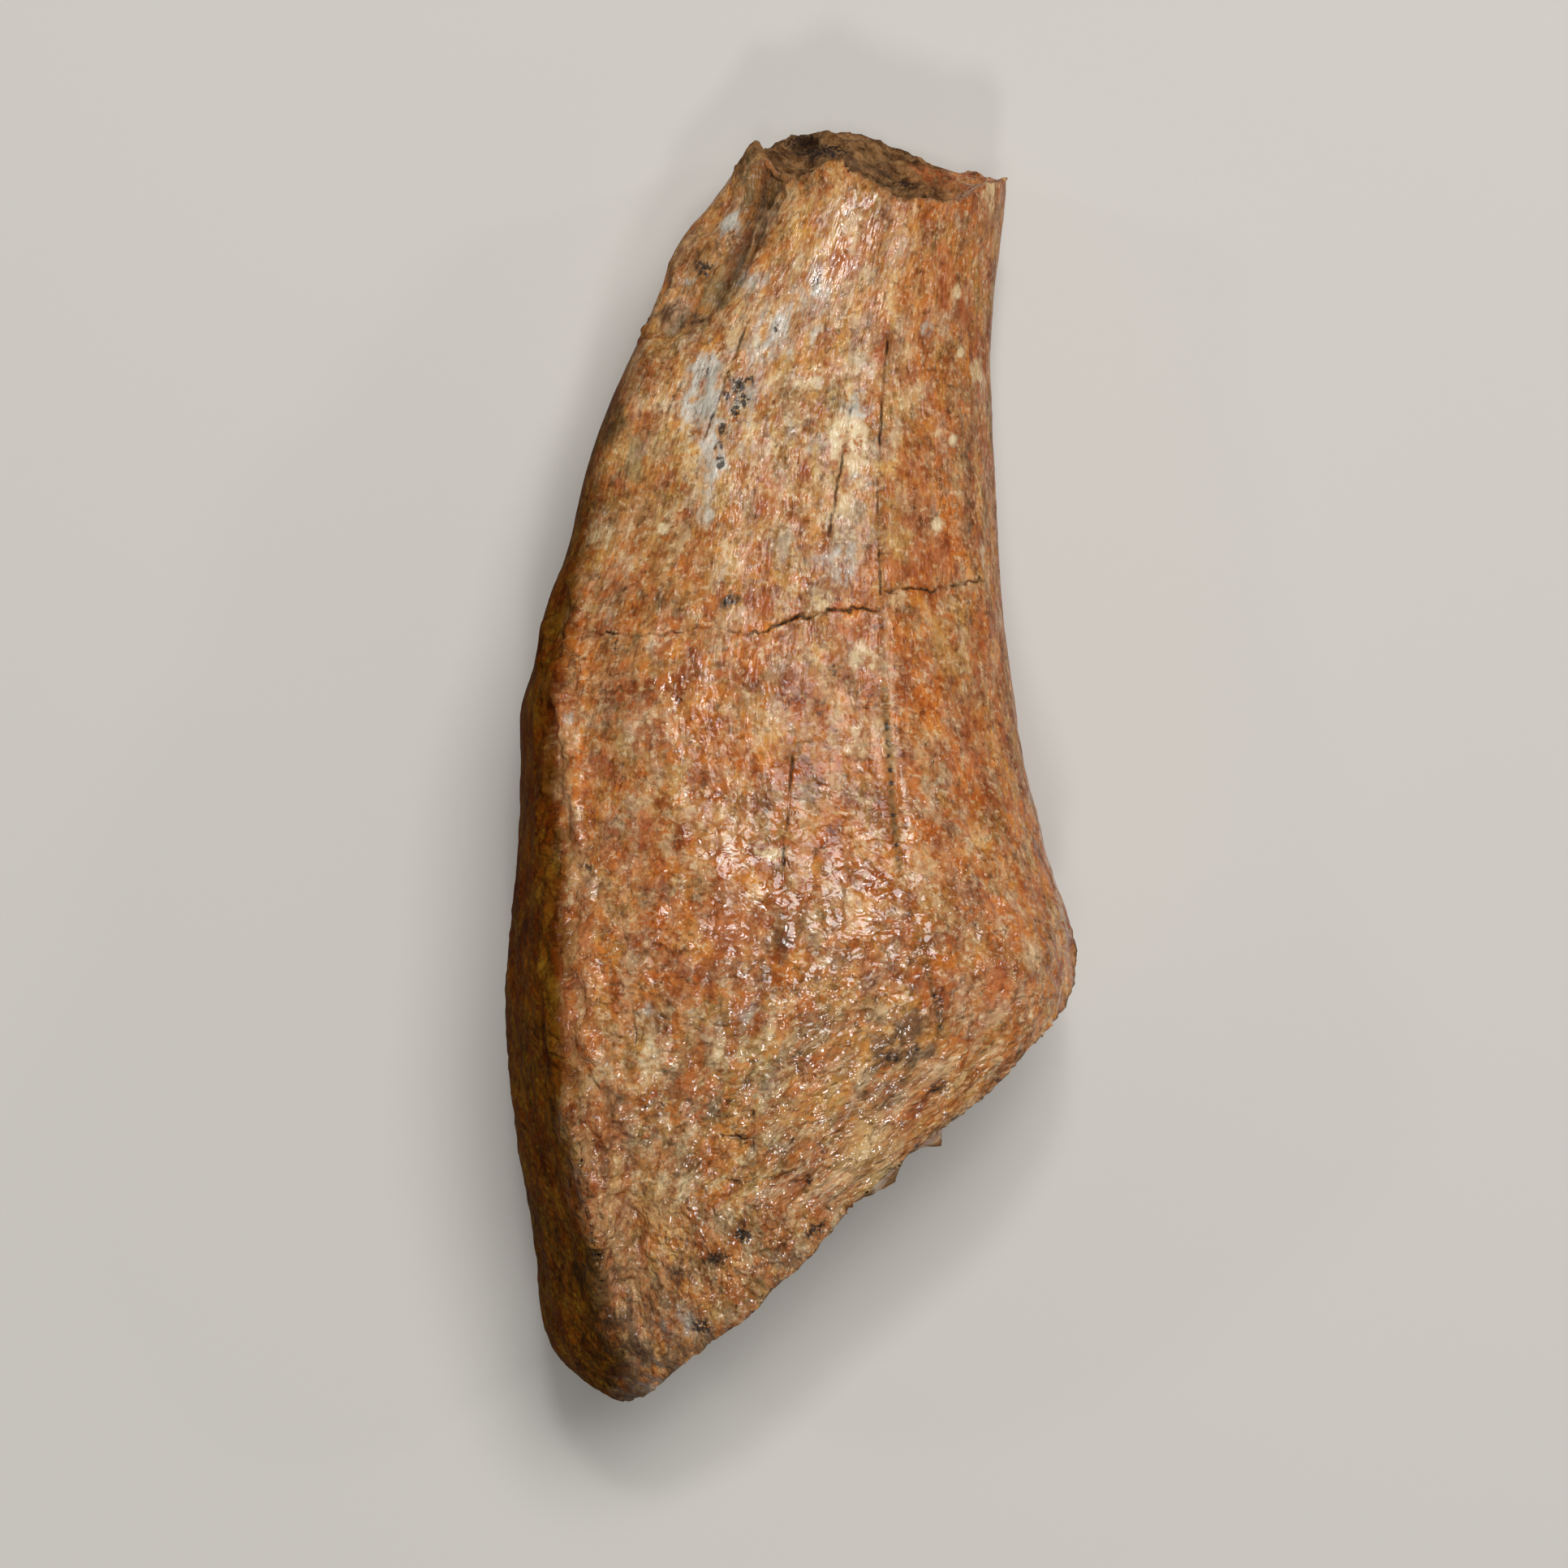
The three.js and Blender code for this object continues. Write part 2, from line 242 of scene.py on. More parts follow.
def ease(low, high, value):
    share = np.clip((value - low) / (high - low), 0, 1)
    return share * share * (3 - 2 * share)


def field(points, size, octaves=3, stretch=1.0, shift=0.0):  # noise in patches of that size, longer along y
    squeezed = points * (1 / size, 1 / (size * stretch), 1 / size) + shift
    return np.array([noise.fractal(Vector(p), 0.8, 2.1, octaves) for p in squeezed])


def brokenFaces(points, normals):  # 1 on a broken face and 0 on worn enamel, for the base, the tip and the flake
    shoulder, foot = np.array(baseBreak["shoulder"]), np.array(baseBreak["foot"])
    run = (foot - shoulder) / np.hypot(*(foot - shoulder))
    out = np.array((-run[1], run[0]))
    along = (points[:, :2] - shoulder) @ run
    height = points[:, 2]
    face = np.interp(along, *zip(*baseBreak["rim"])) + baseBreak["undercut"] * (height - baseBreak["rimHeight"])
    for place, level, length, depth, size in baseBreak["bumps"]:
        face += size * bell(along - place, length) * bell(height - level, depth)
    gap = np.abs((points[:, :2] - shoulder) @ out - face)
    base = (gap < 0.75) & (normals[:, :2] @ out > 0.5) & (normals[:, 2] < 0.25)

    far, near = (np.interp(points[:, 0], *zip(*tipBreak[side])) for side in ("far", "near"))
    level = far + (near - far) * ease(tipBreak["deepEnd"], tipBreak["nearEnd"], height)
    tip = (np.abs(points[:, 1] - level) < 1.2) & (normals[:, 1] > 0.45)

    turn = np.array(Euler(flake["turn"]).to_matrix())
    local = np.abs((points - flake["centre"]) @ turn / flake["radii"])
    chip = (local ** flake["fullness"]).sum(1) ** (1 / flake["fullness"]) < 1.12
    return base.astype(float), tip.astype(float), chip.astype(float)


def grainWay(points):  # coordinates that follow the tooth's curve: across it, along it and up
    rows = np.linspace(-22, 28, 26)
    near = [points[np.abs(points[:, 1] - row) < 1.2, 0] for row in rows]
    left = np.interp(points[:, 1], rows, [row.min() for row in near])
    right = np.interp(points[:, 1], rows, [row.max() for row in near])
    across = toothForm["meanWidth"] * ((points[:, 0] - left) / (right - left) - 0.5)
    return np.stack((across, points[:, 1], points[:, 2]), 1)


def patchMask(points, normals, patches):
    edge = 0.3 * field(points, 0.9, 2, 1.6, 17.0) + 0.35 * field(points, 0.35, 2, 1.6, 87.0)
    mask = np.zeros(len(points))
    for x, y, halfWidth, halfLength, lean, strength in patches:
        turn = math.radians(lean)
        dx, dy = points[:, 0] - x, points[:, 1] - y
        across = (dx * math.cos(turn) + dy * math.sin(turn)) / halfWidth
        along = (-dx * math.sin(turn) + dy * math.cos(turn)) / halfLength
        reach = np.hypot(across, along) + edge
        mask = np.maximum(mask, strength * (1 - ease(0.1, 1.5, reach)))
    return mask * ease(-0.1, 0.3, normals[:, 2])


def flankTintAndPaintedShadeMask(points, normals, way):  # the left flank's darker olive-brown tint and painted shade, darkest at its edge and widest at the foot
    inward = way[:, 0] + toothForm["meanWidth"] / 2
    inward += 0.45 * field(points, 1.3, 3, 2.0, 2.0) + 0.3 * field(points, 0.5, 2, 4.0, 41.0)
    reach, full, strength = (np.interp(points[:, 1], *zip(*flankTintAndPaintedShade[name])) for name in ("reach", "full", "strength"))
    return strength * ease(reach, full * reach, inward) * ease(-0.95, -0.2, normals[:, 2])


def sharpEdges(bm):  # the crisp rims of the solid, as pairs of end points; the flake's own rim is soft
    edges = [e for e in bm.edges if e.calc_face_angle(0) > toothForm["sharp"] and e.verts[0].co.z > 2 * mm]
    rims = np.array([[v.co for v in e.verts] for e in edges]) / mm
    atTip = rims[:, 0, 1] > 15
    softened = (atTip & ((rims[:, 0, 0] < 0.2) | (rims[:, 0, 0] > 8.8))) | (~atTip & (rims[:, 0, 2] < 13))
    return rims[~softened]


def evenMesh(node):  # a copy of the solid with an even mesh, finer on the upper side, and its crisp rims
    piece = bpy.data.objects.new("fossilTooth", node.data.copy())
    bpy.context.collection.objects.link(piece)
    bm = bmesh.new()
    bm.from_mesh(piece.data)
    bmesh.ops.remove_doubles(bm, verts=bm.verts, dist=0.002 * mm)
    rims = sharpEdges(bm)
    bm.to_mesh(piece.data)
    bm.free()
    remesh = piece.modifiers.new("evenGrain", "REMESH")
    remesh.mode = "VOXEL"
    remesh.voxel_size = toothForm["grain"] * mm
    view = bpy.context.evaluated_depsgraph_get()
    even = bpy.data.meshes.new_from_object(piece.evaluated_get(view))
    piece.modifiers.clear()
    piece.data = even
    bm = bmesh.new()
    bm.from_mesh(even)
    bm.normal_update()
    edges = [e for e in bm.edges if max(v.normal.z for v in e.verts) > 0.16 and e.verts[0].co.z > 2 * mm]
    bmesh.ops.subdivide_edges(bm, edges=edges, cuts=1, use_grid_fill=True)
    for _ in range(4):
        bmesh.ops.smooth_vert(bm, verts=bm.verts, factor=0.5, use_axis_x=True, use_axis_y=True, use_axis_z=True)
    bm.to_mesh(even)
    bm.free()
    return piece, rims


def keepCrisp(points, rims):  # draws the points beside each crisp rim onto it
    nearest = np.full(len(points), 0.3 * toothForm["grain"] * 2)
    target = points.copy()
    for start, end in rims:
        run = end - start
        share = np.clip((points - start) @ run / max(run @ run, 1e-9), 0, 1)
        foot = start + share[:, None] * run
        gap = np.linalg.norm(points - foot, axis=1)
        closer = gap < nearest
        target[closer] = foot[closer]
        nearest = np.where(closer, gap, nearest)
    return target


def wandered(points):  # seen from these places, the cracks stray a little from their routes
    moved = points.copy()
    moved[:, 0] += 0.09 * field(points, 0.9, 3, 1.0, 3.0)
    moved[:, 1] += 0.2 * field(points, 0.6, 3, 1.0, 43.0)
    return moved


def refineNearCracks(bm):
    for band in toothForm["crackBand"]:
        bm.verts.ensure_lookup_table()
        points = np.array([v.co for v in bm.verts]) / mm
        strayed = wandered(points)
        nearest = np.min([routeDistance(strayed, crack[0])[0] for crack in cracks.values()], axis=0)
        nearest = np.minimum(nearest, routeDistance(points, cuttingEdge["route"])[0])
        close = (nearest < band) & (points[:, 2] > 9)
        edges = [e for e in bm.edges if close[e.verts[0].index] or close[e.verts[1].index]]
        bmesh.ops.subdivide_edges(bm, edges=edges, cuts=1, use_grid_fill=True)


def spread(mask, pairs, rounds):  # lets a mask or a shape bleed into its neighbours
    count = len(mask)
    degree = np.bincount(pairs.ravel(), minlength=count)
    columns = [c for c in mask.reshape(count, -1).T]
    for _ in range(rounds):
        for i, column in enumerate(columns):
            total = np.bincount(pairs[:, 0], column[pairs[:, 1]], count)
            total += np.bincount(pairs[:, 1], column[pairs[:, 0]], count)
            columns[i] = 0.5 * column + 0.5 * total / degree
    return np.stack(columns, 1).reshape(mask.shape)


def vertexNormals(mesh):
    normals = np.empty(len(mesh.vertices) * 3)
    mesh.vertices.foreach_get("normal", normals)
    return normals.reshape(-1, 3)


def keepMask(mesh, name, values):
    layer = mesh.attributes.new(name, "FLOAT", "POINT")
    layer.data.foreach_set("value", values.astype(np.float32))


def keepWay(mesh, name, vectors):
    layer = mesh.attributes.new(name, "FLOAT_VECTOR", "POINT")
    layer.data.foreach_set("vector", vectors.astype(np.float32).ravel())


def carveTooth(piece, rims):
    mesh = piece.data
    bm = bmesh.new()
    bm.from_mesh(mesh)
    refineNearCracks(bm)
    bmesh.ops.triangulate(bm, faces=bm.faces)
    bm.to_mesh(mesh)
    bm.free()
    mesh.update()

    count = len(mesh.vertices)
    points = np.empty(count * 3)
    mesh.vertices.foreach_get("co", points)
    points = keepCrisp(points.reshape(-1, 3) / mm, rims)
    mesh.vertices.foreach_set("co", (points * mm).ravel())
    mesh.update()
    normals = vertexNormals(mesh)
    pairs = np.empty(len(mesh.edges) * 2, int)
    mesh.edges.foreach_get("vertices", pairs)
    pairs = pairs.reshape(-1, 2)

    base, tip, chip = brokenFaces(points, normals)
    tipMask = spread(tip, pairs, 1)
    broken = spread(np.maximum.reduce([base, tip, chip]), pairs, 2)
    rim = 4 * broken * (1 - broken)
    worn = spread(points, pairs, toothForm["rimWear"])
    points += (worn - points) * np.clip(rim * 0.9, 0, 1)[:, None]
    softChip = np.clip(1.5 * spread(chip, pairs, 14), 0, 1) * ease(0.15, 0.5, normals[:, 2])
    softChip *= ease(30.2, 28.8, points[:, 1])
    points += (spread(points, pairs, 45) - points) * softChip[:, None]
    corner = bell(np.hypot(points[:, 0] - 10.9, points[:, 1] - 30.5), 1.3)
    points += (spread(points, pairs, 18) - points) * corner[:, None]
    whole = 1 - broken
    upper = ease(0.0, 0.5, normals[:, 2])

    # waves, lumps, pits and fibres of the worn enamel
    x, y = points[:, 0], points[:, 1]
    low = ease(3, -12, y + 2 * field(points, 5.0, 2, 1.0, 77.0))
    move = toothForm["waves"] * field(points, 2.2, 3, 1.5) * (0.4 + 0.6 * low) * whole
    glaze = np.maximum(0.75 * low, patchMask(points, normals, glazePatches))
    move += toothForm["lumps"] * field(points, 0.75, 2, 1.2, 13.0) * (0.25 + 0.75 * glaze) * whole
    pitted = np.clip(field(points, 0.7, 2, 1.3, 31.0) - 0.1, 0, 1)
    move -= toothForm["pits"] * 2.2 * pitted * (0.25 + 0.75 * low) * whole
    move += toothForm["fibres"] * field(points, 0.5, 2, 9.0, 57.0) * (1.1 - 0.8 * low) * whole

    # the broken faces are rougher, with small steps
    rough = field(points, 1.3, 4, 1.0, 11.0) + 0.5 * np.abs(field(points, 0.6, 2, 1.0, 23.0))
    move += toothForm["brokenGrain"] * rough * broken

    move += (0.28 * field(points, 1.3, 4, 1.6, 29.0) + 0.12 * field(points, 0.5, 3, 1.3, 35.0)) * softChip

    # the ridge at the left is beaten into lumps, and a furrow runs beside its lower end
    ridgeGap = routeDistance(points, leftRidge)[0]
    onRidge = bell(ridgeGap, 1.3) * upper * whole
    move += 0.9 * onRidge * np.clip(field(points, 1.0, 4, 2.0, 71.0), -0.3, 0.4)
    furrowGap = routeDistance(points, furrow)[0]
    move -= 0.28 * bell(furrowGap + 0.2 * field(points, 0.8, 2, 2.0, 5.0), 0.4) * upper

    # the splits behind the near rim, and the valley at the right of the flake
    crevice = np.zeros(count)
    for route, depth, half in crevices.values():
        gap, along, length = routeDistance(points, route)
        inside = bell(gap, half) * ease(0, 0.3, along + 0.1) * ease(0, 0.3, length - along + 0.1) * tipMask
        move -= depth * inside
        crevice = np.maximum(crevice, inside)
    valleyGap, along, length = routeDistance(points, flakeValley)
    valleyGap += 0.3 * field(points, 1.0, 3, 1.0, 19.0)
    valley = bell(valleyGap, 0.85 - 0.5 * along / length) * (1 - 0.5 * ease(0.4, 0.9, along / length)) * upper
    move -= 0.4 * valley

    # cracks
    strayed = wandered(points)
    tears = np.clip(0.62 + 1.1 * field(points, 1.1, 3, 1.0, 61.0), 0.28, 1)  # a crack opens and closes along its way
    crackMask = np.zeros(count)
    for route, depth, half in cracks.values():
        gap, along, length = routeDistance(strayed, route)
        ends = ease(0, 0.7, along + 0.3) * ease(0, 0.7, length - along + 0.3)
        move -= depth * bell(gap, half) * ends * upper * tears
        crackMask = np.maximum(crackMask, np.clip(1.2 * bell(gap, half * 1.3) * tears, 0, 1) * ends * upper)

    # the beaded cutting edge: a low step with a row of beads and dark gaps between them
    gap, along, length = routeDistance(points, cuttingEdge["route"])
    strong = sum(ease(low - 1, low + 1, y) * (1 - ease(high - 1, high + 1, y))
                 for high, low in cuttingEdge["strong"])
    strong = 0.25 + 0.75 * np.clip(strong, 0, 1)
    beat = np.cos(2 * math.pi * (along + 0.5 * field(points, 1.3, 2, 1.0, 8.0)) / cuttingEdge["pitch"])
    onEdge = bell(gap, 0.16) * upper * strong
    move += cuttingEdge["bead"] * onEdge * beat
    move -= 0.06 * bell(gap - 0.25, 0.12) * upper * strong
    ragged = np.clip(0.8 + 1.2 * field(points, 0.5, 2, 1.0, 93.0), 0, 1.3)
    beadGap = bell(gap, 0.13) * ease(-0.1, 0.8, -beat) * upper * strong * ragged

    points += normals * move[:, None]
    points[:, 2] = np.maximum(points[:, 2], 0)
    mesh.vertices.foreach_set("co", (points * mm).ravel())
    mesh.update()

    way = grainWay(points)
    keepWay(mesh, "grainWay", way)
    keepMask(mesh, "ridge", onRidge)
    skinned = np.maximum(0.8 * spread(chip, pairs, 3), tipMask * ease(7.6, 9.0, x))  # broken, but stained like the rest
    keepMask(mesh, "broken", np.clip(broken - skinned, 0, 1))
    keepMask(mesh, "high", np.clip(1 - ease(6, -8, y + 3 * field(points, 6.0, 2, 1.0, 9.0)), 0, 1))
    keepMask(mesh, "glaze", glaze * whole)
    keepMask(mesh, "crack", crackMask)
    keepMask(mesh, "crevice", crevice)
    keepMask(mesh, "valley", valley)
    keepMask(mesh, "beadGap", np.clip(beadGap, 0, 1))
    keepMask(mesh, "beadLine", bell(gap, 0.2) * upper * strong)
    warm = ease(11.5, 7.5, y) * ease(-16, -8, y)
    warm = np.maximum(warm, ease(5, 8, x) * ease(2, 8, y))
    keepMask(mesh, "warm", warm)
    keepMask(mesh, "pale", bell(np.hypot((x + 0.5) / 5.5, (y - 17) / 8.5), 1))
    keepMask(mesh, "drab", ease(-9, -19, y))
    # the left flank's darker tint, with painted shade where it turns away from the light
    keepMask(mesh, "flankTintAndPaintedShade", flankTintAndPaintedShadeMask(points, normals, way))
    return points, normals


piece, rims = evenMesh(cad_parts["tooth"])
print("even mesh:", len(piece.data.vertices), "points,", len(rims), "crisp edges")
points, normals = carveTooth(piece, rims)
print("carved:", len(piece.data.polygons), "faces")

# stains, and some patches of painted shade, each a soft patch on the upper side: x, y, half width, half length, lean in
# degrees, strength

stainsAndPaintedShade = {
    "ash": [
        (-4.3, 18.0, 1.0, 2.2, -12, 1.2), (-3.8, 14.6, 0.8, 2.0, 0, 1.2), (-2.4, 17.6, 1.0, 1.6, -10, 0.8),
        (-0.9, 20.8, 1.5, 2.2, -15, 0.6), (0.9, 22.8, 1.4, 2.2, -20, 0.55), (-4.1, 11.7, 0.45, 0.5, 0, 0.9),
        (3.5, 17.3, 0.8, 0.7, 0, 1.4), (3.3, 13.5, 0.7, 0.5, 0, 0.7), (2.1, 9.8, 1.6, 0.5, 15, 0.8),
        (2.8, 9.0, 0.8, 1.0, 0, 0.9),
        (7.0, 21.2, 0.4, 0.7, 0, 0.8), (-2.8, 27.0, 0.6, 1.3, -20, 0.8), (-5.1, 23.9, 0.5, 0.3, 0, 1.0),
        (-1.8, 23.8, 1.0, 1.0, -30, 0.5), (-10.8, 1.8, 0.3, 0.5, 0, 0.8),
        (-5.1, -28.0, 1.4, 0.9, 0, 0.5), (-6.8, -12.6, 0.5, 0.8, 0, 0.5), (-2.0, -13.0, 1.2, 1.0, 0, 0.5),
    ],
    "cream": [
        (3.1, 15.4, 0.9, 1.5, 0, 1.8), (7.4, 11.4, 0.4, 0.4, 0, 1.0), (-9.5, 11.0, 0.6, 0.8, 0, 0.8),
        (-6.3, 11.2, 0.4, 0.3, 0, 1.0), (1.1, 18.5, 0.7, 0.3, 10, 1.0), (3.8, 4.6, 1.0, 0.9, 0, 0.8),
        (1.8, 7.5, 1.2, 0.6, 0, 0.7), (-7.1, -14.4, 0.7, 2.0, 0, 0.8), (-3.4, -14.4, 0.7, 1.5, 0, 0.6),
        (-5.5, -20.8, 1.2, 1.3, 0, 0.5), (-10.6, -6.7, 0.4, 0.9, 0, 0.9),
        (-10.4, 7.0, 0.6, 1.0, 0, 0.7), (2.3, 11.8, 1.0, 1.2, -20, 0.7), (8.5, 23.2, 0.3, 0.4, 0, 1.0),
        (8.6, 20.2, 0.25, 0.3, 0, 1.0), (8.2, 15.8, 0.3, 0.4, 0, 0.8), (10.2, 28.6, 0.5, 0.9, 0, 1.0),
        (9.5, 19.4, 0.4, 0.8, 0, 0.8), (-2.6, 21.2, 0.8, 1.2, -15, 0.6),
        (9.7, 10.2, 0.25, 0.8, 0, 0.8), (-0.7, -4.8, 1.0, 0.4, 0, 0.8), (3.1, 1.2, 1.2, 1.2, 0, 0.5),
    ],
    "rust": [
        (2.7, 24.8, 1.3, 1.4, -25, 1.0), (7.8, 23.8, 0.5, 2.4, 0, 1.0), (8.8, 22.5, 0.4, 1.4, 0, 0.8),
        (-1.0, 12.9, 0.8, 1.4, 0, 0.9), (0.7, 13.8, 0.5, 1.3, 0, 0.9), (1.7, 19.2, 0.9, 0.9, 0, 0.7),
        (6.1, 13.6, 1.3, 2.6, 0, 0.6), (7.3, 9.6, 1.4, 1.2, 0, 1.0), (-1.2, 7.3, 0.7, 0.7, 0, 1.0),
        (4.6, 20.2, 0.6, 1.5, 0, 0.7), (-5.7, 4.5, 0.8, 1.0, 0, 0.7), (-9.3, -0.8, 1.0, 2.0, 0, 0.7),
        (-7.1, -3.4, 0.5, 1.0, 0, 1.0), (0.1, -4.6, 1.3, 0.5, 0, 0.9), (8.7, 0.4, 1.0, 2.4, 0, 0.9),
        (10.3, -10.8, 1.4, 1.6, 0, 0.7), (-10.8, -12.3, 0.4, 3.6, 0, 0.9), (-4.3, -16.0, 1.8, 0.8, 20, 0.45),
        (1.1, -16.0, 2.0, 0.6, 10, 0.5), (-8.7, -18.8, 1.0, 1.3, 0, 0.6), (-2.7, -8.8, 1.5, 1.4, 0, 0.6),
        (5.3, 9.2, 0.6, 1.4, 0, 0.8), (-8.7, 13.6, 0.5, 0.6, 0, 1.0), (0.7, 3.8, 1.2, 0.8, 0, 0.6),
        (-9.5, -21.8, 0.5, 1.4, -15, 0.8), (6.3, -16.8, 1.8, 0.7, 35, 0.5), (-10.1, -8.8, 0.7, 2.5, 0, 0.7),
        (7.6, 30.0, 1.8, 0.8, -15, 0.8),
        (-7.0, 9.1, 0.3, 0.3, 0, 1.0), (9.3, 4.2, 0.6, 2.4, 0, 0.6), (-3.9, -10.4, 1.2, 0.9, 0, 0.5),
    ],
    "soot": [
        (-2.4, 18.3, 0.35, 0.4, 0, 1.3), (-2.3, 17.5, 0.4, 0.35, 0, 1.3), (-3.0, 18.8, 0.22, 0.3, 0, 1.1),
        (-3.3, 16.0, 0.22, 0.35, 0, 1.3), (-3.5, 15.3, 0.22, 0.3, 0, 1.3), (-3.4, 14.5, 0.24, 0.35, 0, 1.3),
        (-2.6, 17.0, 0.25, 0.3, 0, 1.1), (-3.1, 17.8, 0.22, 0.3, 0, 1.1), (-1.9, 18.6, 0.2, 0.3, 0, 0.9),
        (-4.0, 19.1, 0.2, 0.4, -15, 0.7), (-0.6, 21.2, 0.2, 0.3, 0, 1.0), (-2.9, 7.5, 0.4, 0.5, 0, 0.8),
        (-2.2, -23.6, 0.4, 0.35, 0, 1.3), (1.2, -23.3, 0.7, 0.4, 15, 1.0), (-4.3, -28.2, 0.5, 0.4, 0, 1.2),
        (-3.4, -24.6, 0.5, 0.4, 0, 1.1), (1.8, 31.2, 1.3, 0.5, -12, 1.2), (6.2, 29.2, 0.8, 0.3, -20, 0.9),
        (4.8, -14.7, 0.6, 0.4, 0, 0.7), (6.1, -14.3, 0.5, 0.4, 0, 0.5), (1.0, -20.8, 0.2, 0.4, 0, 0.8),
        (-3.7, -24.9, 0.6, 0.5, 0, 0.8), (7.4, -12.2, 0.15, 0.8, 0, 0.7), (0.6, 32.2, 1.1, 0.6, 0, 1.1),
        (-4.2, 24.5, 0.5, 0.5, 0, 0.9), (-2.9, 26.2, 0.3, 0.6, -10, 0.5), (-9.1, -24.6, 0.6, 0.6, 0, 0.7),
        (7.2, -16.2, 0.7, 0.4, 0, 0.6), (7.5, 21.2, 0.15, 0.4, 0, 0.7), (-7.0, 9.1, 0.2, 0.2, 0, 0.6),
        (2.2, 4.1, 0.3, 0.4, 0, 0.6), (-8.5, 5.4, 0.3, 0.5, 0, 0.6), (1.4, 23.6, 0.25, 0.25, 0, 0.7),
    ],
    "olive": [
        (-7.5, 15.0, 0.8, 1.6, 0, 0.8), (-8.7, 16.4, 0.9, 1.8, -20, 0.9), (-6.5, 7.2, 1.2, 0.6, 0, 0.6),
        (-8.5, 1.8, 1.5, 1.2, 0, 0.5), (-7.7, 5.8, 0.4, 0.6, 0, 0.7), (-6.5, 12.4, 1.2, 0.9, 0, 0.5),
        (-8.9, -25.8, 1.5, 3.0, 0, 0.9), (-3.1, -23.0, 2.5, 0.9, 0, 0.6),
        # the second patch here, at (-2.1, 28.8), is painted shade beside the flake's valley; the others are an olive
        # tint
        (-3.9, 23.2, 1.0, 1.6, -40, 0.8), (-2.1, 28.8, 0.6, 2.0, -5, 1.0),
        (-4.1, -6.7, 1.0, 0.9, 0, 0.4), (1.9, -7.8, 1.5, 0.6, 0, 0.4), (9.3, 2.9, 0.8, 0.5, 0, 0.6),
    ],
    "sand": [
        (3.9, -19.2, 1.4, 2.1, -30, 1.3), (-6.1, -22.2, 1.2, 1.4, 0, 1.0), (3.4, 1.4, 1.4, 1.6, 0, 0.6),
        (-5.4, 26.2, 0.8, 2.4, -27, 0.8), (2.4, 27.6, 1.2, 1.0, 0, 0.6), (10.2, 27.6, 0.6, 2.0, 0, 0.7),
    ],
    # dark patches: some are a brown film in the middle, and those on the foot, low on the left side and on the flake
    # are painted shade
    "darkStainAndPaintedShade": [
        (0.5, -9.5, 3.4, 2.6, 0, 0.45), (5.5, -13.8, 1.9, 1.6, 0, 1.0), (-2.9, 7.5, 0.5, 0.5, 0, 1.2),
        (-5.3, -25.4, 1.3, 1.0, 0, 0.8), (-8.4, -29.0, 2.0, 2.4, 0, 1.3), (-5.7, 22.4, 1.0, 0.6, 20, 0.9), (-1.3, 27.4, 0.6, 1.7, -8, 0.9),
        (-9.6, -26.0, 1.4, 1.4, 0, 1.0), (-8.8, -18.0, 1.6, 3.4, 0, 0.5), (-7.9, 5.2, 1.4, 0.6, 0, 0.6), (4.9, -16.4, 1.8, 0.8, 30, 0.7),
        (-0.6, -25.2, 2.0, 1.0, 30, 0.7), (-3.4, -11.0, 1.6, 1.0, 0, 0.5), (-4.4, 22.0, 1.2, 0.5, 35, 0.8),
        (8.9, 14.0, 1.0, 5.0, 0, 0.35), (-6.4, 8.0, 1.8, 0.8, 0, 0.35), (-5.5, -31.0, 4.2, 2.4, 30, 1.1),
        (-4.6, 25.0, 1.0, 2.6, -27, 0.5), (-7.6, -28.6, 1.8, 2.0, 0, 1.1), (2.6, 30.6, 2.6, 0.9, -14, 0.9),
        (-4.6, -29.6, 2.4, 1.6, 30, 0.8), (-6.4, -26.6, 1.0, 1.6, 0, 0.6),
    ],
}


for kind, patches in stainsAndPaintedShade.items():
    keepMask(piece.data, kind, patchMask(points, normals, patches))
print("stains are laid")

stone = {
    "ochre": (182, 122, 53),
    "tan": (198, 145, 81),
    "amber": (184, 110, 42),
    "straw": (203, 157, 92),
    "khaki": (170, 131, 75),
    "orange": (194, 105, 38),
    "rust": (152, 79, 38),
    "mauve": (158, 114, 88),
    "gold": (200, 142, 62),
    "olive": (126, 104, 66),
    "moss": (152, 130, 84),
    "cream": (228, 202, 158),
    "sand": (192, 150, 100),
    "russet": (174, 96, 52),
    "ash": (194, 190, 177),
    # a dark brown for stains and for painted shade
    "darkStainAndPaintedShade": (98, 72, 52),
    "dark": (86, 52, 26),
    "soot": (34, 31, 32),
    "crack": (34, 20, 12),
    "break": (140, 102, 64),
    # a dark brown for dust on the broken faces, and for painted shade in the flake's valley
    "dirtAndPaintedShade": (44, 28, 16),
    # a multiplier for the left flank's darker tint and painted shade
    "flankTintAndPaintedShade": (138, 116, 44),
}


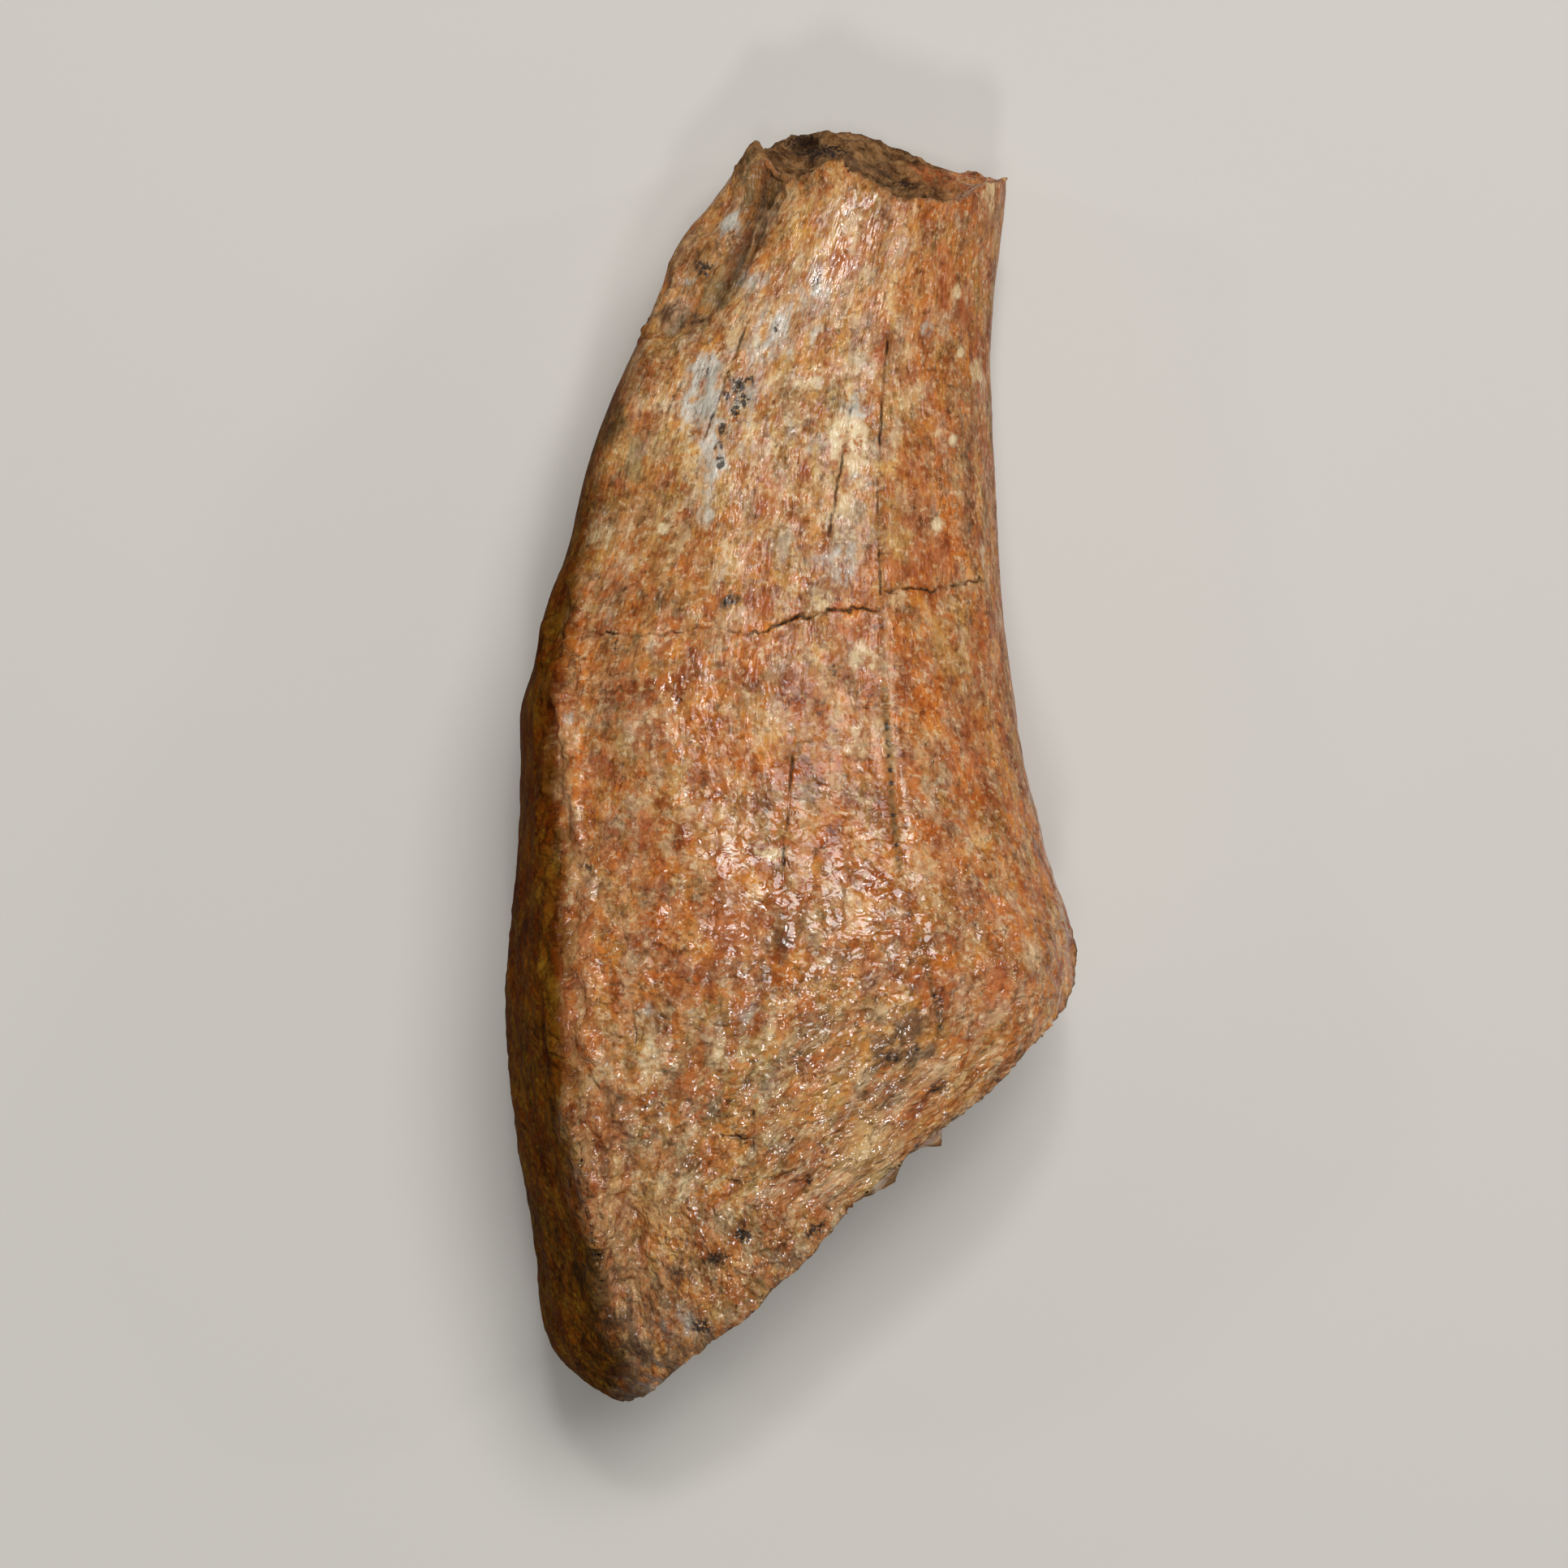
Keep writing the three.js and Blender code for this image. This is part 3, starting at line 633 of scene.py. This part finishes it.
class Finish:  # a node tree with short ways to add to it
    def __init__(self, name):
        self.material = bpy.data.materials.new(name)
        self.material.use_nodes = True
        self.tree = self.material.node_tree
        self.shader = self.tree.nodes["Principled BSDF"]

    def add(self, kind, inputs=None, **settings):
        made = self.tree.nodes.new(kind)
        for key, value in settings.items():
            setattr(made, key, value)
        for key, value in (inputs or {}).items():
            self.feed(made.inputs[key], value)
        return made

    def feed(self, socket, value):
        if isinstance(value, bpy.types.NodeSocket):
            self.tree.links.new(value, socket)
        else:
            socket.default_value = value

    def space(self, way, x, y, z, shift=0.0):  # a way through the stone, in millimetres, drawn out or squeezed
        inputs = {"Vector": way, "Scale": (x, y, z), "Location": (shift,) * 3}
        return self.add("ShaderNodeMapping", inputs).outputs["Vector"]

    def cloud(self, space, size, detail=4.0, roughness=0.55, distortion=0.0):
        inputs = {"Vector": space, "Scale": 1 / size, "Detail": detail, "Roughness": roughness,
                  "Distortion": distortion}
        return self.add("ShaderNodeTexNoise", inputs).outputs["Fac"]

    def patch(self, space, size, rare, soft, strength=1.0):  # rare: 0 covers half the stone, 1 a sixth, 2 a fortieth
        spread = 0.066
        inside = 0.5 + spread * (rare - soft), 0.5 + spread * (rare + soft)
        return self.step(self.cloud(space, size, 4, 0.55), *inside, (0, strength))

    def mask(self, name):
        return self.add("ShaderNodeAttribute", attribute_name=name).outputs["Fac"]

    def sum(self, kind, *values, clamp=False):
        made = self.add("ShaderNodeMath", operation=kind, use_clamp=clamp)
        for socket, value in zip(made.inputs, values):
            self.feed(socket, value)
        return made.outputs[0]

    def step(self, value, low, high, to=(0.0, 1.0)):
        inputs = {"Value": value, "From Min": low, "From Max": high, "To Min": to[0], "To Max": to[1]}
        return self.add("ShaderNodeMapRange", inputs, interpolation_type="SMOOTHSTEP").outputs["Result"]

    def blend(self, share, under, over, kind="MIX"):
        made = self.add("ShaderNodeMix", data_type="RGBA", blend_type=kind)
        for socket, value in zip((made.inputs[0], made.inputs[6], made.inputs[7]), (share, under, over)):
            self.feed(socket, value)
        return made.outputs[2]

    def ramp(self, value, *stops):
        made = self.add("ShaderNodeValToRGB", {"Fac": value})
        band = made.color_ramp
        while len(band.elements) < len(stops):
            band.elements.new(0.5)
        for element, (position, colour) in zip(band.elements, stops):
            element.position = position
            element.color = colour
        return made.outputs["Color"]


def stoneFinish():
    finish = Finish("varnishedStone")
    colour = {name: tint(*value) for name, value in stone.items()}
    way = finish.add("ShaderNodeAttribute", attribute_name="grainWay").outputs["Vector"]
    high, warm, pale, drab = map(finish.mask, ("high", "warm", "pale", "drab"))
    broken, glaze, flankTintAndPaintedShade, valley = map(finish.mask, ("broken", "glaze", "flankTintAndPaintedShade", "valley"))
    crack, crevice, beadLine, beadGap = map(finish.mask, ("crack", "crevice", "beadLine", "beadGap"))

    # the fibres run along the tooth, and brush the edges of every patch
    fibres = finish.cloud(finish.space(way, 1, 0.1, 1), 0.15, 3, 0.6)
    strand = finish.sum("MULTIPLY", finish.sum("SUBTRACT", fibres, 0.5), finish.step(finish.cloud(way, 3.5, 2), 0.4, 0.6, (0.2, 1.5)))
    pull = finish.sum("MULTIPLY", strand, 0.35)
    along = finish.add("ShaderNodeCombineXYZ", {"Y": pull}).outputs["Vector"]
    brushed = finish.add("ShaderNodeVectorMath", {0: way, 1: along}, operation="ADD").outputs["Vector"]
    drawn = finish.space(brushed, 1, 0.6, 1, 7.0)
    drawnToo = finish.space(brushed, 1, 0.6, 1, 31.0)
    even = finish.space(way, 1, 1, 1, 3.0)

    # the broad tone: orange across the middle and down the right, pale above, drab below
    shade = finish.blend(finish.patch(drawn, 3.4, 0.0, 1.4), colour["ochre"], colour["tan"])
    for zone, name, strength in ((warm, "amber", 0.85), (pale, "straw", 0.55), (drab, "khaki", 0.4)):
        shade = finish.blend(finish.sum("MULTIPLY", zone, strength), shade, colour[name])

    # patches over it, some soft and some ragged, some stronger in their own zone
    for space, size, name, rare, soft, strength, zone, least in (
        (drawnToo, 3.6, "moss", 0.3, 1.2, 0.7, drab, 0.55),
        (drawnToo, 2.3, "orange", 0.3, 1.2, 0.75, warm, 0.55),
        (drawn, 2.6, "gold", 0.4, 1.0, 0.6, pale, 0.4),
        (drawn, 1.8, "mauve", 0.6, 1.0, 0.5, warm, 0.9),
        (drawn, 1.4, "olive", 0.7, 0.9, 0.65, drab, 0.7),
        (drawnToo, 1.7, "tan", 0.4, 1.2, 0.4, pale, 0.5),
        (drawn, 1.3, "ash", 1.1, 0.9, 0.55, pale, 0.35),
        (drawnToo, 1.1, "rust", 0.8, 0.9, 0.75, warm, 0.7),
        (drawn, 1.0, "cream", 1.1, 0.9, 0.45, pale, 0.4),
        (even, 0.8, "orange", 1.1, 0.8, 0.6, warm, 0.7),
        (even, 0.5, "rust", 1.2, 0.6, 0.32, warm, 0.6),
        (even, 0.3, "cream", 1.3, 0.6, 0.55, pale, 0.7),
        (even, 0.45, "dark", 1.4, 0.6, 0.6, drab, 0.8),
    ):
        share = finish.sum("MULTIPLY", finish.patch(space, size, rare, soft, strength), finish.step(zone, 0, 1, (least, 1)))
        shade = finish.blend(share, shade, colour[name])

    # small chips of other tints, with crisp edges
    stir = finish.add("ShaderNodeTexNoise", {"Vector": way, "Scale": 2.2, "Detail": 3.0}).outputs["Color"]
    inputs = {0: stir, 1: (1.1, 1.1, 1.1), 2: finish.space(way, 1, 0.55, 1, 5.0)}
    stirred = finish.add("ShaderNodeVectorMath", inputs, operation="MULTIPLY_ADD").outputs["Vector"]
    cells = finish.add("ShaderNodeTexVoronoi", {"Vector": stirred, "Scale": 1 / 0.45}).outputs["Color"]
    lots = finish.add("ShaderNodeSeparateColor", {"Color": cells}).outputs
    plain = finish.step(high, 0, 1, (1, 0.6))
    for lot, rare, name, strength in ((0, 0.8, "rust", 0.3), (1, 0.84, "cream", 0.2), (2, 0.8, "orange", 0.35)):
        share = finish.sum("MULTIPLY", finish.step(lots[lot], rare, rare + 0.02, (0, strength)), plain)
        shade = finish.blend(share, shade, colour[name])
    shade = finish.blend(0.14, shade, finish.ramp(lots[1], (0, (0.1, 0.1, 0.1, 1)), (1, (0.7, 0.7, 0.7, 1))), "SOFT_LIGHT")

    # the broken faces are dusty
    dust = finish.ramp(finish.cloud(even, 1.0, 5, 0.65), (0.37, colour["dirtAndPaintedShade"]), (0.55, colour["break"]))
    shade = finish.blend(finish.sum("MULTIPLY", broken, 0.85), shade, dust)

    # stains and patches of painted shade, their edges brushed along the fibres
    ragged = finish.sum("MULTIPLY_ADD", finish.cloud(drawn, 0.7, 4, 0.6), 7.0, -2.5)
    crumbs = finish.sum("MULTIPLY_ADD", finish.cloud(even, 0.22, 3, 0.6), 8.0, -3.0)
    for name, edge, strength, low, full in (
        ("sand", ragged, 0.7, 0.0, 1.1),
        ("olive", ragged, 0.7, 0.0, 1.2),
        ("rust", ragged, 0.75, 0.0, 1.1),
        ("cream", ragged, 0.85, 0.1, 1.05),
        ("darkStainAndPaintedShade", ragged, 0.8, 0.0, 1.2),
        ("ash", ragged, 0.8, 0.0, 1.3),
        ("soot", crumbs, 0.85, 0.15, 1.0),
    ):
        reach = finish.sum("MULTIPLY", finish.mask(name), edge)
        under = "russet" if name == "rust" else name
        shade = finish.blend(finish.step(reach, low, full, (0, strength)), shade, colour[under])

    # the beaten ridge is streaked with rust and cream
    streaky = finish.space(way, 1, 0.3, 1, 11.0)
    for size, name, rare, strength in ((1.0, "rust", 0.4, 0.45), (0.8, "sand", 0.5, 0.6)):
        share = finish.sum("MULTIPLY", finish.patch(streaky, size, rare, 0.7, strength), finish.mask("ridge"))
        shade = finish.blend(share, shade, colour[name])

    # light and dark in the grain, and thin brown veins
    mottle = finish.sum("MULTIPLY", finish.cloud(drawn, 1.2, 5, 0.6), 0.7)
    fine = finish.sum("MULTIPLY", finish.cloud(finish.space(way, 1, 0.7, 1), 0.22, 2, 0.6), 0.36)
    fine = finish.sum("ADD", fine, -0.03)
    grain = finish.sum("ADD", finish.sum("ADD", mottle, fine), finish.sum("MULTIPLY", strand, finish.sum("MULTIPLY", high, 0.18)))
    shade = finish.blend(0.6, shade, finish.ramp(grain, (0.38, (0, 0, 0, 1)), (0.62, (1, 1, 1, 1))), "SOFT_LIGHT")
    vein = finish.sum("ABSOLUTE", finish.sum("SUBTRACT", finish.cloud(drawnToo, 2.2, 4, 0.6, 0.6), 0.5))
    vein = finish.sum("MULTIPLY", finish.step(vein, 0, 0.01, (0.6, 0)), finish.patch(drawn, 3.0, 0.2, 0.4))
    shade = finish.blend(vein, shade, colour["dark"])

    # the left flank is multiplied darker: partly its own olive-brown tint, partly painted shade
    shade = finish.blend(flankTintAndPaintedShade, shade, colour["flankTintAndPaintedShade"], "MULTIPLY")
    # the valley beside the flake gets painted shade; the splits, bead line, bead gaps and cracks get their own dark
    # colours
    for place, name, strength in ((valley, "dirtAndPaintedShade", 0.7), (crevice, "crack", 0.95),
                                  (beadLine, "olive", 0.55), (beadGap, "soot", 0.9), (crack, "crack", 0.9)):
        shade = finish.blend(finish.sum("MULTIPLY", place, strength), shade, colour[name])
    finish.feed(finish.shader.inputs["Base Color"], shade)

    # the bare stone is dull, and clear varnish lies on it in wet spots, in lumps low down and in streaks above
    lumps = finish.cloud(even, 0.55, 1.5, 0.5, 0.5)
    pores = finish.cloud(finish.space(way, 1, 0.6, 1), 0.19, 2, 0.5)
    streaks = finish.cloud(finish.space(way, 1, 0.3, 1), 0.3, 1.5, 0.5, 0.5)
    smooth = finish.blend(high, lumps, finish.sum("MULTIPLY", streaks, 0.6))
    relief = finish.blend(high, lumps, finish.sum("MULTIPLY", streaks, 0.35))
    relief = finish.sum("ADD", relief, finish.sum("MULTIPLY", pores, finish.step(high, 0, 1, (0.35, 0.25))))
    relief = finish.sum("ADD", relief, finish.sum("MULTIPLY", finish.sum("MULTIPLY", fibres, high), 0.15))
    pooled = finish.sum("MULTIPLY", smooth, finish.step(glaze, 0.85, 1.2, (1, 0.45)))
    wetRelief = finish.sum("MULTIPLY_ADD", pores, 0.12, pooled)
    for height, depth, socket in ((relief, 0.32, "Normal"), (wetRelief, 0.15, "Coat Normal")):
        bump = finish.add("ShaderNodeBump", {"Height": height, "Strength": 1.0, "Distance": depth * mm})
        finish.feed(finish.shader.inputs[socket], bump.outputs["Normal"])
    wet = finish.sum("MULTIPLY_ADD", glaze, 0.06, finish.cloud(even, 0.8, 3, 0.6))
    coat = finish.sum("MULTIPLY", finish.step(wet, 0.48, 0.54, (0.3, 1)), finish.step(glaze, 0.0, 0.8, (0.35, 1)))
    coat = finish.sum("MULTIPLY", coat, finish.sum("SUBTRACT", 1.0, finish.sum("MAXIMUM", flankTintAndPaintedShade, broken)), clamp=True)
    finish.feed(finish.shader.inputs["Coat Weight"], coat)
    finish.shader.inputs["Coat Roughness"].default_value = 0.07
    finish.feed(finish.shader.inputs["Roughness"], finish.step(finish.sum("MAXIMUM", flankTintAndPaintedShade, broken), 0, 1, (0.55, 0.9)))
    finish.shader.inputs["Specular IOR Level"].default_value = 0.05
    return finish.material


piece.data.materials.clear()
piece.data.materials.append(stoneFinish())
for face in piece.data.polygons:
    face.use_smooth = True
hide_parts("tooth")
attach(piece, "root")
print("the stone is finished")
